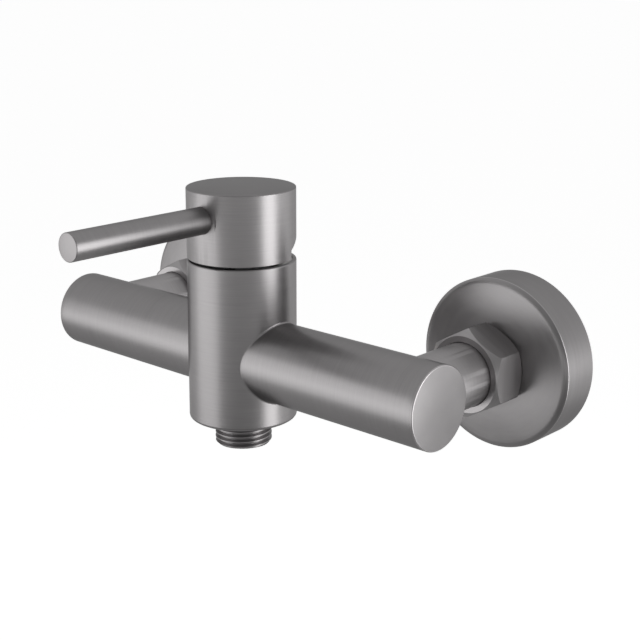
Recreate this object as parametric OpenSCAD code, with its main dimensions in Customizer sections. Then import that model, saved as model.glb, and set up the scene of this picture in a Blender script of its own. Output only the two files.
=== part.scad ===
// Wall-mounted single-lever shower mixer with two unions and a hose outlet.
// Millimetres. +Z is up, +Y goes into the wall, X runs from the left inlet to the right one.
// The origin lies on the finished wall, midway between the two wall inlets.

/* [Overall] */
// Distance between the two wall inlets
inlet_spacing = 150; // [136:1:164]
// Distance from the finished wall to the axis of the upright body
wall_distance = 67; // [65:0.5:85]
// Height of the mixer's arms above the wall inlets, set by the eccentric unions
union_offset = 7.5; // [5:0.5:9]

/* [Body] */
// Outside diameter of the upright body and of the cap above it
body_d = 39.4; // [39:0.1:46]
// Height of the body's rim above the axis of the arms
body_top = 35.4; // [33.5:0.1:36]
// Depth of the body's foot below the axis of the arms
body_drop = 23.5; // [20:0.1:28]
// Rounding of the body's lower edge
foot_round = 1.2; // [0.6:0.1:2.4]
// Bevel on the outside of the body's rim
rim_bevel = 0.6; // [0.3:0.1:0.8]
// Outside diameter of the arms
arm_d = 28.7; // [26:0.1:32]
// Length of each arm beyond the axis of its inlet boss
arm_overhang = 15.2; // [13:0.1:24]
// Bore of the arms
arm_bore = 19.6; // [18:0.1:21]
// Diameter of the narrow water way from each arm to the cartridge
way_d = 8.4; // [7:0.1:8.8]
// Visible thickness of the end caps of the arms
end_cap_t = 3; // [2:0.1:5]
// Length of an end cap's spigot inside the arm
end_spigot = 5; // [3:0.5:6]
// Bevel on the face of the end caps
end_bevel = 0.45; // [0.2:0.05:1]

/* [Unions] */
// Outside diameter of the round boss behind each arm
boss_d = 22.7; // [21:0.1:22.8]
// Distance from the axis of the arm to the end of its boss
boss_len = 36.2; // [34:0.1:40]
// Width across the flats of the union nuts
nut_af = 28; // [27.6:0.1:32]
// Length of the union nuts
nut_len = 15.3; // [13:0.1:17]
// Thickness of the nut's inward collar
nut_collar = 2.9; // [2:0.1:3.5]
// Bevel on the corners of the nut
nut_chamfer = 2.7; // [1.5:0.1:3]
// Diameter of the thread between the nut and the wall union
union_d = 25; // [24.6:0.1:25.4]
// Thickness of the inlet nipple's flange
flange_t = 2.2; // [1.6:0.1:3]
// Bore of the inlet nipples
nipple_bore = 12; // [10:0.1:13]
// Diameter of the inlet nipple's screwed end
nipple_d = 17.4; // [16.6:0.1:18]
// Depth of the inlet nipple's screwed end in the boss
nipple_depth = 14; // [10:0.5:15]
// Thickness of the union washers
washer_t = 2; // [1.5:0.1:3]
// Bore of the wall unions
union_bore = 11.6; // [10:0.1:11.8]
// Diameter of the wall union's pipe thread
wall_thread_d = 20.955; // [20.6:0.005:21]
// Depth of the pipe thread behind the finished wall
wall_thread_len = 14; // [10:0.5:20]
// Width across the flats of the key socket in the wall unions
key_af = 12; // [10:0.5:13]

/* [Escutcheons] */
// Diameter of the escutcheons
plate_d = 61.6; // [56:0.1:66]
// Radius of the domed face of the escutcheons
dome_r = 200; // [120:5:400]
// Rounding between the rim and the face of the escutcheon
plate_round = 3.5; // [2.6:0.1:4.5]
// Slope at which that rounding meets the rim
plate_slope = 50; // [42:1:60]
// Wall thickness of the escutcheons
plate_t = 1.6; // [1.2:0.1:2.2]

/* [Cap and lever] */
// Running gap between the body's rim and the cap
cap_gap = 0.85; // [0.8:0.05:1]
// Height of the cap
cap_h = 25.3; // [24.8:0.1:32]
// Thickness of the cap's side wall
cap_wall = 1.9; // [1.6:0.1:2.1]
// Thickness of the cap's top
cap_top_t = 3.5; // [3:0.1:4]
// Bevel on the cap's top edge
cap_bevel = 0.4; // [0.2:0.1:1]
// Where the cut at the cap's rear starts, behind the axis
rear_cut_start = 6.5; // [6:0.1:6.9]
// Height of the upright step where that cut starts
rear_cut_step = 3.5; // [2.8:0.1:4]
// Slope of the cut at the cap's rear
rear_cut_slope = 28; // [24:1:34]
// Height of the lever's axis above the cap's lower edge
lever_rise = 15.6; // [15.2:0.1:16.4]
// Diameter of the lever
lever_d = 9.8; // [9:0.1:10.6]
// Distance from the body's axis to the tip of the lever
lever_reach = 76.5; // [60:0.5:120]
// Bevel on the tip of the lever
lever_bevel = 0.35; // [0.2:0.05:1]
// Diameter of the lever's screwed tail
tail_d = 8; // [6:0.5:8]
// Diameter of the grub screw
grub_d = 5; // [4:0.5:5]

/* [Cartridge] */
// Outside diameter of the cartridge
cartridge_d = 35; // [34:0.1:35.2]
// Height of the cartridge's seat above the axis of the arms
seat_z = 7; // [6.8:0.1:7.4]
// Thickness of the cartridge's base
base_t = 2.5; // [2.2:0.1:2.7]
// Thickness of the fixed ceramic disc
fixed_t = 2.6; // [2.3:0.1:2.8]
// Thickness of the moving ceramic disc
moving_t = 2.4; // [2.2:0.1:2.6]
// Thickness of the drive plate
drive_t = 2.7; // [2.5:0.1:2.9]
// Height of the stem's pivot above the axis of the arms
pivot_z = 23; // [22.6:0.1:23.4]
// Diameter of the stem's pivot pin
pin_d = 3; // [2.5:0.1:3.4]
// Diameter of the fixed ceramic disc
fixed_d = 26.4; // [25.6:0.1:26.4]
// Diameter of the moving ceramic disc
moving_d = 21; // [20:0.1:21.4]
// Width of the stem's square end
stem_w = 7.8; // [7:0.1:8]
// Diameter of the rotor's neck
neck_d = 19; // [18.8:0.1:19.2]
// Diameter of the water ports in the seat, the base and the fixed disc
port_d = 5.6; // [5:0.1:6]
// Wall left outside the clamp nut's thread
rim_wall = 1.45; // [1.3:0.05:1.6]

/* [Hose outlet] */
// Diameter of the hose thread
hose_d = 20.7; // [20.5:0.05:20.955]
// Length of the hose outlet below the body
hose_len = 10.2; // [9.5:0.1:14]
// Diameter of the hose outlet's screwed end inside the body
spigot_d = 17; // [16.4:0.1:18]
// Length of the hose outlet's screwed end
spigot_len = 9.6; // [9:0.1:10]
// Diameter of the check valve
valve_d = 14; // [13.4:0.1:14.4]
// Travel of the check valve's poppet
valve_travel = 2; // [1:0.1:2]
// Wire of the check valve's spring
wire_d = 0.6; // [0.5:0.05:0.7]
// Coils of the check valve's spring
coils = 4; // [3:1:5]

/* [Fits] */
// Clearance on the diameter of a running fit
run_fit = 0.1; // [0.06:0.02:0.14]
// Clearance on the diameter of a screwed or pushed fit
push_fit = 0.1; // [0.06:0.02:0.16]
// Clearance between parts that must not touch
free_gap = 0.3; // [0.25:0.05:0.35]

/* [Hidden] */
$fn = 96;
eps = 0.01;
big = 200;

// Main axes
side_x = inlet_spacing / 2;
body_y = -wall_distance;
arm_half = side_x + arm_overhang;

// Union stack, measured from the arm's axis towards the wall
axial_gap = 0.1;
nut_front = boss_len - nut_collar - axial_gap;
nut_back = nut_front + nut_len;
flange_end = boss_len + flange_t;
washer_end = flange_end + washer_t;
nut_bore = union_d + 2 * push_fit;
nut_face_d = nut_af - 0.8;
flange_d = union_d - 0.4;
washer_d = union_d - 1;
strainer_rim = nipple_bore + 4;
strainer_t = 1;
strainer_hole = 1.3;
strainer_pitch = 2.3;

// Escutcheon and wall union, measured from the wall
plate_hole = union_d + 2 * push_fit;
plate_face = wall_distance - nut_back - free_gap + sag(plate_hole / 2);
// Centre of the rounding's arc, and the share of the dome's radius at which the arc touches the dome
turn_r = plate_d / 2 - plate_round * sin(plate_slope);
turn_z = plate_face - dome_r + sqrt(pow(dome_r - plate_round, 2) - turn_r * turn_r);
touch_r = turn_r / (dome_r - plate_round);
union_end = wall_distance - washer_end;
crank_near = plate_face - plate_t - 3;
crank_far = crank_near - 8;
crank_d = union_d + 4;
pipe_crank_d = wall_thread_d + 4;
key_depth = 10;
key_corners = key_af / cos(30);

// Levels of the cartridge above the arm's axis
base_top = seat_z + base_t;
fixed_top = base_top + fixed_t;
moving_top = fixed_top + moving_t;
drive_top = moving_top + drive_t;
ball_d = 3.6;
ball_z = drive_top - ball_d / 2 + 1.2;
rotor_low = drive_top + free_gap;
chamber_d = fixed_d + 0.4;
shoulder_z = 28.8;
chamber_top = shoulder_z - 2;
housing_neck_d = neck_d + 4;
housing_top = body_top + 0.5;
nut_top = body_top - 0.6;
ring_t = 1.5;
ring_top = nut_top + ring_t;
lug_low = max(housing_top, ring_top) + 0.2;
lug_t = 1.2;
rotor_top = lug_low + lug_t;
stop_r = housing_neck_d / 2 + 1.6;
recess_d = body_d - 2 * rim_wall;
port_r = 8.5;
port_drop = 2;
mixed_r = 7.5;
ports = [[-port_r, -port_drop], [port_r, -port_drop], [0, mixed_r]];
seal_w = 1.9;
seal_h = 1.6;
pivot_r = 3.8;
blade_w = 6;
// Carrier's width across its flats, and the rotor's rails beside them
carrier_w = moving_d - 5;
rail_t = 1.8;
rail_x = carrier_w / 2 + free_gap + rail_t / 2;
rail_len = moving_d * 2 / 3;
pin_half = chamber_d / 2 - 3.4;
lug_half = 10;
lift_max = 15;
// Room that the stem's square end needs behind it in the rotor's neck
slot_back = (rotor_top - pivot_z) * sin(lift_max) + 0.3;
slot_len = stem_w + slot_back + 0.4;
slot_shift = (slot_back - 0.4) / 2;
swing_max = 45;

// Cap, measured from the arm's axis
cap_low = body_top + cap_gap;
cap_high = cap_low + cap_h;
lever_z = cap_low + lever_rise;
socket_w = stem_w + 2 * push_fit;
stem_top = lever_z + 3.2;
boss_low = cap_low + 5;
cap_boss_d = stem_w + 7;
cap_edge = 0.35;
rib_d = lever_d + 3.4;

// Hose outlet, measured below the arm's axis
hose_end = -body_drop - hose_len;
spigot_top = -body_drop + spigot_len;
valve_seat_z = -body_drop + 0.2;
valve_low = hose_end + 0.5;
ring_w = 1.9;
seat_ring_t = 1.2;
spider_t = 1.2;
poppet_t = 1.4;
poppet_d = valve_d - 4.4;
guide_d = 2.6;
poppet_high = valve_seat_z - seat_ring_t - 0.1;
spring_high = poppet_high - poppet_t;
spring_low = valve_low + spider_t;
spring_r = 3.3;

// Drop of the escutcheon's dome at a distance from its middle
function sag(r) = dome_r - sqrt(dome_r * dome_r - r * r);
// Points on an arc
function arc(r, a0, a1, n) =
    [for (i = [0:n]) let (a = a0 + (a1 - a0) * i / n) [r * cos(a), r * sin(a)]];

// Moves to the body's axis at the level of the arms
module at_body() { translate([0, body_y, union_offset]) children(); }
// Moves to an inlet's axis, with Z turned to run from the arm towards the wall
module at_inlet(s) { translate([s * side_x, body_y, union_offset]) rotate([-90, 0, 0]) children(); }
// Moves to an inlet's axis, with Z turned to run out of the wall and its zero on the wall
module at_plate(s) { translate([s * side_x, 0, union_offset]) rotate([90, 0, 0]) children(); }
// Moves to the axis of a wall inlet, lower than the mixer's, zero on the wall
module at_pipe(s) { translate([s * side_x, 0, 0]) rotate([90, 0, 0]) children(); }
// A cylinder between two levels
module rod(d, z0, z1) { translate([0, 0, z0]) cylinder(d = d, h = z1 - z0); }
// A tube between two levels
module tube(d, bore, z0, z1) {
    difference() {
        rod(d, z0, z1);
        rod(bore, z0 - 1, z1 + 1);
    }
}
// A cylinder along X between two places
module rod_x(d, x0, x1) { translate([x0, 0, 0]) rotate([0, 90, 0]) cylinder(d = d, h = x1 - x0); }
// A cylinder along Y between two places
module rod_y(d, y0, y1) { translate([0, y0, 0]) rotate([-90, 0, 0]) cylinder(d = d, h = y1 - y0); }
// A box centred on X and Y between two levels
module block(x, y, z0, z1) { translate([-x / 2, -y / 2, z0]) cube([x, y, z1 - z0]); }
// A ring segment standing on z0, between two radii and two angles
module segment(r0, r1, a0, a1, z0, z1) {
    translate([0, 0, z0]) linear_extrude(z1 - z0) difference() {
        polygon(concat([[0, 0]], arc(r1 / cos((a1 - a0) / 16), a0, a1, 8)));
        circle(r = r0);
    }
}
// A round bar with both its ends bevelled
module bevelled(d, z0, z1, b0, b1) {
    translate([0, 0, z0]) rotate_extrude() polygon([[0, 0], [d / 2 - b0, 0], [d / 2, b0],
        [d / 2, z1 - z0 - b1], [d / 2 - b1, z1 - z0], [0, z1 - z0]]);
}

// Outside of the upright body: rounded foot and bevelled rim
module barrel() {
    rotate_extrude() {
        polygon([[0, -body_drop], [body_d / 2 - foot_round, -body_drop],
            [body_d / 2 - foot_round, -body_drop + foot_round], [body_d / 2, -body_drop + foot_round],
            [body_d / 2, body_top - rim_bevel], [body_d / 2 - rim_bevel, body_top], [0, body_top]]);
        translate([body_d / 2 - foot_round, -body_drop + foot_round]) circle(r = foot_round);
    }
}
// Everything that is bored out of the casting
module body_ways() {
    rod(cartridge_d + 2 * push_fit, seat_z, shoulder_z + 1);
    rod(recess_d, shoulder_z - 0.5, body_top + 1);
    for (s = [-1, 1]) {
        rod_x(arm_bore, s > 0 ? body_d / 2 + 4 : -arm_half, s > 0 ? arm_half : -body_d / 2 - 4);
        rod_x(way_d, s > 0 ? port_r - way_d / 2 : -body_d / 2 - 6,
            s > 0 ? body_d / 2 + 6 : -port_r + way_d / 2);
        translate([s * port_r, -port_drop, 0]) rod(port_d, 0, seat_z + 1);
    }
    translate([0, mixed_r, 0]) rod(port_d, spigot_top, seat_z + 1);
    rod(spigot_d + push_fit, -body_drop - 1, spigot_top + 0.4);
    rod(spigot_d + 4, spigot_top, spigot_top + 3);
}
// Bore of one inlet boss, with the seat of its nipple
module inlet_way() {
    rod(nipple_d + push_fit, boss_len - nipple_depth - 0.5, boss_len + 1);
    rod(nipple_bore + 1, 0, boss_len);
}
module body_casting() {
    color("#6c6b6c") difference() {
        union() {
            at_body() barrel();
            at_body() rod_x(arm_d, -arm_half + end_cap_t, arm_half - end_cap_t);
            for (s = [-1, 1]) at_inlet(s) rod(boss_d, 0, boss_len);
        }
        at_body() body_ways();
        for (s = [-1, 1]) at_inlet(s) inlet_way();
    }
}
// End cap of an arm: bevelled disc with a hollow spigot
module end_cap(s) {
    color("#747374") at_body() rotate([0, s * 90, 0]) difference() {
        union() {
            bevelled(arm_d, arm_half - end_cap_t, arm_half, eps, end_bevel);
            rod(arm_bore - push_fit, arm_half - end_cap_t - end_spigot, arm_half - end_cap_t + eps);
        }
        rod(arm_bore - 5, arm_half - end_cap_t - end_spigot - 1, arm_half - end_cap_t);
    }
}
module end_cap_left() { end_cap(-1); }
module end_cap_right() { end_cap(1); }

// Flanged nipple screwed into the boss, holds the union nut captive
module inlet_nipple(s) {
    color("#a08a5c") at_inlet(s) difference() {
        union() {
            rod(nipple_d, boss_len - nipple_depth, boss_len + eps);
            rod(flange_d, boss_len, flange_end);
        }
        rod(nipple_bore, 0, flange_end + 1);
        rod(strainer_rim + push_fit, flange_end - strainer_t, flange_end + 1);
    }
}
module inlet_nipple_left() { inlet_nipple(-1); }
module inlet_nipple_right() { inlet_nipple(1); }

// Hexagonal union nut, corners bevelled at both ends, collar at its front
module union_nut(s) {
    color("#666566") at_inlet(s) difference() {
        intersection() {
            translate([0, 0, nut_front]) rotate([0, 0, 30])
                cylinder(d = nut_af / cos(30), h = nut_len, $fn = 6);
            bevelled(nut_face_d + 2 * nut_chamfer, nut_front, nut_back, nut_chamfer, nut_chamfer);
        }
        rod(boss_d + run_fit, nut_front - 1, nut_back);
        rod(nut_bore, nut_front + nut_collar, nut_back + 1);
    }
}
module union_nut_left() { union_nut(-1); }
module union_nut_right() { union_nut(1); }

module union_washer(s) {
    color("#3a3a3c") at_inlet(s) tube(washer_d, key_corners + 1, flange_end, washer_end);
}
module union_washer_left() { union_washer(-1); }
module union_washer_right() { union_washer(1); }

// Perforated strainer disc, holes on a hexagonal pitch
module strainer(s) {
    color("#c0c2c4") at_inlet(s) difference() {
        rod(strainer_rim, flange_end - strainer_t, flange_end);
        rod(nipple_bore - 0.6, flange_end - strainer_t - 1, flange_end - 0.5);
        rod(strainer_hole, flange_end - 2, flange_end + 1);
        for (ring = [1:2], i = [0:6 * ring - 1]) rotate([0, 0, i * 60 / ring])
            translate([ring * strainer_pitch, 0, 0]) rod(strainer_hole, flange_end - 2, flange_end + 1);
    }
}
module strainer_left() { strainer(-1); }
module strainer_right() { strainer(1); }

// Eccentric wall union: straight thread, crank, pipe thread lower down
module wall_union(s) {
    color("#9b8556") difference() {
        union() {
            at_plate(s) bevelled(union_d, crank_near - 1, union_end, eps, 0.8);
            at_plate(s) rod(crank_d, crank_far, crank_near);
            at_pipe(s) rod(pipe_crank_d, crank_far, crank_near);
            at_pipe(s) bevelled(wall_thread_d, -wall_thread_len, crank_far + 1, 0.8, eps);
        }
        at_plate(s) rod(union_bore, crank_far + 1.5, union_end + 1);
        at_plate(s) translate([0, 0, union_end - key_depth])
            cylinder(d = key_corners, h = key_depth + 1, $fn = 6);
        at_pipe(s) rod(union_bore, -wall_thread_len - 1, crank_near - 2);
    }
}
module wall_union_left() { wall_union(-1); }
module wall_union_right() { wall_union(1); }

// Escutcheon: domed face, its rounded edge meets the deep straight rim at a crisp corner
module plate_form(inset) {
    intersection() {
        rotate_extrude() intersection() {
            translate([0, -big]) square([plate_d / 2 - inset, 2 * big]);
            union() {
                translate([0, -big]) square([touch_r * (dome_r - inset), big + plate_face]);
                translate([0, -big]) square([plate_d, big + turn_z]);
                translate([turn_r, turn_z]) circle(r = plate_round - inset);
            }
        }
        translate([0, 0, plate_face - dome_r]) sphere(r = dome_r - inset);
    }
}
module escutcheon(s) {
    color("#7b7a7b") at_plate(s) difference() {
        intersection() {
            plate_form(0);
            rod(plate_d + 1, 0, plate_face + 1);
        }
        intersection() {
            plate_form(plate_t);
            rod(plate_d + 1, -1, plate_face + 1);
        }
        rod(plate_hole, 0, plate_face + 1);
    }
}
module escutcheon_left() { escutcheon(-1); }
module escutcheon_right() { escutcheon(1); }

// Hose outlet: threaded nipple with an undercut, screwed up into the body
module hose_outlet() {
    color("#6a696a") at_body() difference() {
        union() {
            bevelled(hose_d, hose_end, -body_drop - 1.6, 0.8, 0.5);
            rod(hose_d - 2.4, -body_drop - 1.7, -body_drop);
            rod(spigot_d, -body_drop - 1, spigot_top);
        }
        rod(valve_d + push_fit, hose_end - 1, valve_seat_z);
        rod(valve_d - 3.5, hose_end, spigot_top + 1);
        tube(spigot_d + 2, spigot_d - 2 * ring_w, -body_drop + 1.2, -body_drop + 1.4 + ring_w);
    }
}
module outlet_o_ring() {
    color("#2e2e30") at_body() translate([0, 0, -body_drop + 1.3 + ring_w / 2])
        rotate_extrude() translate([(spigot_d + push_fit - ring_w) / 2, 0]) circle(d = ring_w - 0.02);
}
// Check valve pushed up into the hose outlet: seat above, spider with a guide below
module valve_housing() {
    color("#d8d8d4") at_body() difference() {
        rod(valve_d, valve_low, valve_seat_z);
        difference() {
            rod(valve_d - 2.4, spring_low, valve_seat_z - seat_ring_t);
            rod(4.4, valve_low, spring_low + 1.8);
        }
        rod(7.6, valve_seat_z - seat_ring_t - 1, valve_seat_z + 1);
        rod(guide_d + run_fit, valve_low - 1, spring_low + 3);
        for (i = [0:5]) rotate([0, 0, i * 60])
            translate([4.05, 0, 0]) rod(2.4, valve_low - 1, spring_low + 1);
    }
}
module valve_poppet() {
    color("#e4e4df") at_body() union() {
        rod(poppet_d, poppet_high - poppet_t, poppet_high);
        rod(guide_d, valve_low + valve_travel, poppet_high - poppet_t + eps);
    }
}
// Open coil of round wire between the spider and the poppet
wire_sides = 6;
coil_steps = coils * 16;
function coil_point(i, j) =
    let (a = 360 * coils * i / coil_steps, b = 360 * j / wire_sides, r = spring_r + wire_d / 2 * cos(b),
        rise = spring_high - spring_low - wire_d - 0.1)
    [r * cos(a), r * sin(a), spring_low + 0.05 + wire_d / 2 + rise * i / coil_steps + wire_d / 2 * sin(b)];
module valve_spring() {
    color("#b9bbbd") at_body() polyhedron(
        points = [for (i = [0:coil_steps], j = [0:wire_sides - 1]) coil_point(i, j)],
        faces = concat(
            [[for (j = [0:wire_sides - 1]) j]],
            [for (i = [0:coil_steps - 1], j = [0:wire_sides - 1], h = [0, 1])
                let (k = (j + 1) % wire_sides, a = i * wire_sides, b = a + wire_sides)
                h == 0 ? [a + j, b + j, b + k] : [a + j, b + k, a + k]],
            [[for (j = [wire_sides - 1:-1:0]) coil_steps * wire_sides + j]]));
}

// Cartridge housing: drum over the discs, shoulder for the clamp nut, neck above it
module cartridge_housing() {
    color("#d9d9d2") at_body() difference() {
        union() {
            rod(cartridge_d, base_top, shoulder_z);
            rod(housing_neck_d, shoulder_z - 1, housing_top);
        }
        rod(chamber_d, base_top - 1, chamber_top);
        rod(neck_d + run_fit, chamber_top - 1, housing_top + 1);
    }
}
module seal_pockets() {
    for (p = ports) translate([p[0], p[1], 0]) rod(port_d + 2 * seal_w + 0.2, seat_z - 1, seat_z + seal_h);
}
module port_holes(z0, z1) {
    for (p = ports) translate([p[0], p[1], 0]) rod(port_d, z0, z1);
}
module cartridge_base() {
    color("#cfcfc8") at_body() difference() {
        rod(cartridge_d - 0.2, seat_z, base_top);
        seal_pockets();
        port_holes(seat_z - 1, base_top + 1);
    }
}
module port_seal(p) {
    color("#2b2b2d") at_body() translate([p[0], p[1], 0])
        tube(port_d + 2 * seal_w, port_d, seat_z, seat_z + seal_h);
}
module seal_hot() { port_seal(ports[0]); }
module seal_cold() { port_seal(ports[1]); }
module seal_mixed() { port_seal(ports[2]); }

// Fixed ceramic disc: kidney ports for hot and cold, round port for mixed water
module fixed_disc() {
    color("#f0efe9") at_body() difference() {
        rod(fixed_d, base_top, fixed_top);
        for (s = [-1, 1]) rotate([0, 0, s > 0 ? -13 : 193]) {
            segment(port_r + 0.23 - port_d / 2, port_r + 0.23 + port_d / 2 - 0.6, -12, 12,
                base_top - 1, fixed_top + 1);
        }
        translate([0, mixed_r, 0]) rod(port_d, base_top - 1, fixed_top + 1);
    }
}
// Moving ceramic disc with its mixing pocket underneath
module moving_disc() {
    color("#f4f3ee") at_body() difference() {
        rod(moving_d, fixed_top, moving_top);
        translate([0, 0.9, 0]) rod(2 * (port_r - port_d / 2) + 0.6, fixed_top - 1, fixed_top + 1.4);
    }
}
// Carrier on the moving disc, with two flats for the rotor's rails and a pocket for the stem's ball
module drive_plate() {
    color("#8f9294") at_body() difference() {
        intersection() {
            rod(moving_d, moving_top, drive_top);
            block(carrier_w, moving_d + 2, moving_top - 1, drive_top + 1);
        }
        block(ball_d + 2, ball_d + run_fit, moving_top - 1, drive_top + 1);
    }
}
// Rotor: turns in the neck, straddles the drive plate with two rails, carries the stem's pin
module rotor() {
    color("#4f6f8f") at_body() difference() {
        union() {
            rod(chamber_d - 0.5, rotor_low, chamber_top - 0.1);
            rod(neck_d, chamber_top - 1, rotor_top);
            for (s = [-1, 1]) translate([s * rail_x, 0, 0])
                block(rail_t, rail_len, moving_top + free_gap, rotor_low + eps);
            segment(neck_d / 2 - 1, stop_r, 90 - lug_half, 90 + lug_half, lug_low, rotor_top);
        }
        block(blade_w + 0.4, 2 * pivot_r + 1.2, rotor_low - 1, pivot_z + 3);
        translate([0, slot_shift, 0]) block(stem_w + 0.6, slot_len, pivot_z + 1.2, rotor_top + 1);
        translate([0, 0, pivot_z]) rod_x(pin_d + push_fit, -pin_half - 0.2, pin_half + 0.2);
    }
}
// Stem: square end for the cap, round eye on the pin, lower arm with a ball
module stem() {
    color("#b7b9ba") at_body() difference() {
        union() {
            block(stem_w, stem_w, pivot_z + 2.8, stem_top);
            block(blade_w, stem_w - 1, pivot_z, pivot_z + 3);
            translate([0, 0, pivot_z]) rod_x(2 * pivot_r, -blade_w / 2, blade_w / 2);
            rod(ball_d - 0.8, ball_z, pivot_z - 2);
            translate([0, 0, ball_z]) sphere(d = ball_d);
        }
        translate([0, 0, pivot_z]) rod_x(pin_d + run_fit, -blade_w, blade_w);
    }
}
module stem_pin() { color("#c9cbcc") at_body() translate([0, 0, pivot_z]) rod_x(pin_d, -pin_half, pin_half); }

// Hot limit ring: slipped on the housing's neck, two stops for the rotor's lug
module hot_limit_ring() {
    color("#b03a34") at_body() difference() {
        union() {
            tube(housing_neck_d + 7, housing_neck_d + push_fit, nut_top, ring_top);
            for (s = [-1, 1]) rotate([0, 0, 90 + s * (swing_max + 17)])
                segment(housing_neck_d / 2 + 0.3, stop_r + 0.8, -6, 6, ring_top - 0.5, rotor_top - 0.1);
        }
        for (i = [0:11]) rotate([0, 0, i * 30])
            translate([housing_neck_d / 2 + 3.5, 0, 0]) rod(1.2, nut_top - 1, ring_top + 0.5);
    }
}
// Clamp nut: screwed into the body on the cartridge's shoulder, six spanner slots
module clamp_nut() {
    color("#8d7a4e") at_body() difference() {
        rod(recess_d - 2 * push_fit, shoulder_z, nut_top);
        rod(housing_neck_d + 0.6, shoulder_z - 1, nut_top + 1);
        for (i = [0:5]) rotate([0, 0, i * 60])
            translate([recess_d / 2 - 3.4, 0, 0]) block(3.2, 3.6, nut_top - 2.4, nut_top + 1);
    }
}

// Handle cap: shell with a boss for the stem and a cross rib for the lever and the grub screw
module rear_cut() {
    run = big - rear_cut_start;
    rise = rear_cut_step + run * tan(rear_cut_slope);
    translate([-big / 2, 0, cap_low]) rotate([90, 0, 90]) linear_extrude(big)
        polygon([[rear_cut_start, -big], [big, -big], [big, rise], [rear_cut_start, rear_cut_step]]);
}

module handle_cap() {
    inside = body_d - 2 * cap_wall;
    color("#747374") at_body() difference() {
        intersection() {
            union() {
                difference() {
                    rod(body_d, cap_low, cap_high);
                    rod(inside, cap_low - 1, cap_high - cap_top_t);
                    translate([0, 0, cap_low])
                        cylinder(d1 = body_d - 2 * cap_edge, d2 = inside, h = cap_wall - cap_edge);
                }
                rod(cap_boss_d, boss_low, cap_high - 1);
                translate([0, 0, lever_z]) rod_y(rib_d, -body_d / 2 + 1, body_d / 2 - 1);
            }
            cap_space();
        }
        block(socket_w, socket_w, cap_low, stem_top + 0.2);
        translate([0, 0, lever_z]) rod_y(tail_d + push_fit, -body_d / 2 - 1, 0);
        translate([0, 0, lever_z]) rod_y(lever_d + push_fit, -body_d / 2 - 1, -body_d / 2 + 5);
        translate([0, 0, lever_z]) rod_y(grub_d + push_fit, 0, body_d / 2 + 1);
    }
}
// The space that the cap fills: bevelled round, with the sloping cut at its rear
module cap_space() {
    difference() {
        bevelled(body_d, cap_low, cap_high, 0.15, cap_bevel);
        rear_cut();
    }
}
// Lever: plain rod with a screwed tail that reaches the cap's boss
module lever_pin() {
    color("#828182") at_body() translate([0, 0, lever_z]) rotate([90, 0, 0]) union() {
        bevelled(lever_d, body_d / 2 - 5 + 0.1, lever_reach, 0.3, lever_bevel);
        rod(tail_d, stem_w / 2 + 0.3, body_d / 2 - 4);
    }
}
// Grub screw with its key socket
module grub_screw() {
    color("#3d3e40") at_body() translate([0, 0, lever_z]) rotate([-90, 0, 0]) difference() {
        bevelled(grub_d, stem_w / 2, body_d / 2 - 4, 0.5, 0.3);
        translate([0, 0, body_d / 2 - 6.5]) cylinder(d = grub_d / 2 / cos(30), h = 4, $fn = 6);
    }
}

body_casting();
end_cap_left();
end_cap_right();
inlet_nipple_left();
inlet_nipple_right();
union_nut_left();
union_nut_right();
union_washer_left();
union_washer_right();
strainer_left();
strainer_right();
wall_union_left();
wall_union_right();
escutcheon_left();
escutcheon_right();
hose_outlet();
outlet_o_ring();
valve_housing();
valve_poppet();
valve_spring();
cartridge_housing();
cartridge_base();
seal_hot();
seal_cold();
seal_mixed();
fixed_disc();
moving_disc();
drive_plate();
rotor();
stem();
stem_pin();
hot_limit_ring();
clamp_nut();
handle_cap();
lever_pin();
grub_screw();
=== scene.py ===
"""Wall-mounted single-lever shower mixer: pieces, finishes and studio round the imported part.

Metres. +Z is up, +Y goes into the wall, and the origin is on the wall between the two inlets.
"""

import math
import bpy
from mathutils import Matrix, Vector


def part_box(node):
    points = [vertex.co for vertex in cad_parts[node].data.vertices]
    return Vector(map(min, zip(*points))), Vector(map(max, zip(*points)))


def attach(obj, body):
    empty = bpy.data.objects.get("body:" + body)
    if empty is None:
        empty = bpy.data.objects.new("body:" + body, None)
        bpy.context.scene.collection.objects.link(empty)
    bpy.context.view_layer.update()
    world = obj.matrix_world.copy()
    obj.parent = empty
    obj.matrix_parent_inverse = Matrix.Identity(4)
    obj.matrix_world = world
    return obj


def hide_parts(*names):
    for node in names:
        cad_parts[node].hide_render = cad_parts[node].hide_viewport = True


bl_info = {
    "name": "Wall shower mixer",
    "version": (1, 0, 0),
    "blender": (4, 5, 0),
    "location": "3D View > Sidebar > Mixer",
    "description": "Dresses the packed shower mixer with its metal pieces, threads, finishes and studio",
    "category": "Object",
}

import bmesh
import bpy
from bpy.props import FloatProperty, FloatVectorProperty, IntProperty, PointerProperty
from mathutils import Matrix, Vector

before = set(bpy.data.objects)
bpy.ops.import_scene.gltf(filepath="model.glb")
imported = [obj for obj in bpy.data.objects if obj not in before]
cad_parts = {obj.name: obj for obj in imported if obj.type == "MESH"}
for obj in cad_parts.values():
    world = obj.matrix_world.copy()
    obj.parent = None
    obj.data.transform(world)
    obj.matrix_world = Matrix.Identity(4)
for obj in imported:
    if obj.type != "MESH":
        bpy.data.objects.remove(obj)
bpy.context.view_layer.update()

MM = 0.001
LOW, HIGH = 0, 1
X, Y, Z = 0, 1, 2


def place(node, end, axis):
    """One side of a CAD node's box, in metres."""
    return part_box(node)[end][axis]


def span(node, axis):
    """A CAD node's size along an axis."""
    return place(node, HIGH, axis) - place(node, LOW, axis)


def middle(node, axis):
    """The middle of a CAD node's box along an axis."""
    return (place(node, HIGH, axis) + place(node, LOW, axis)) / 2


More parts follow.
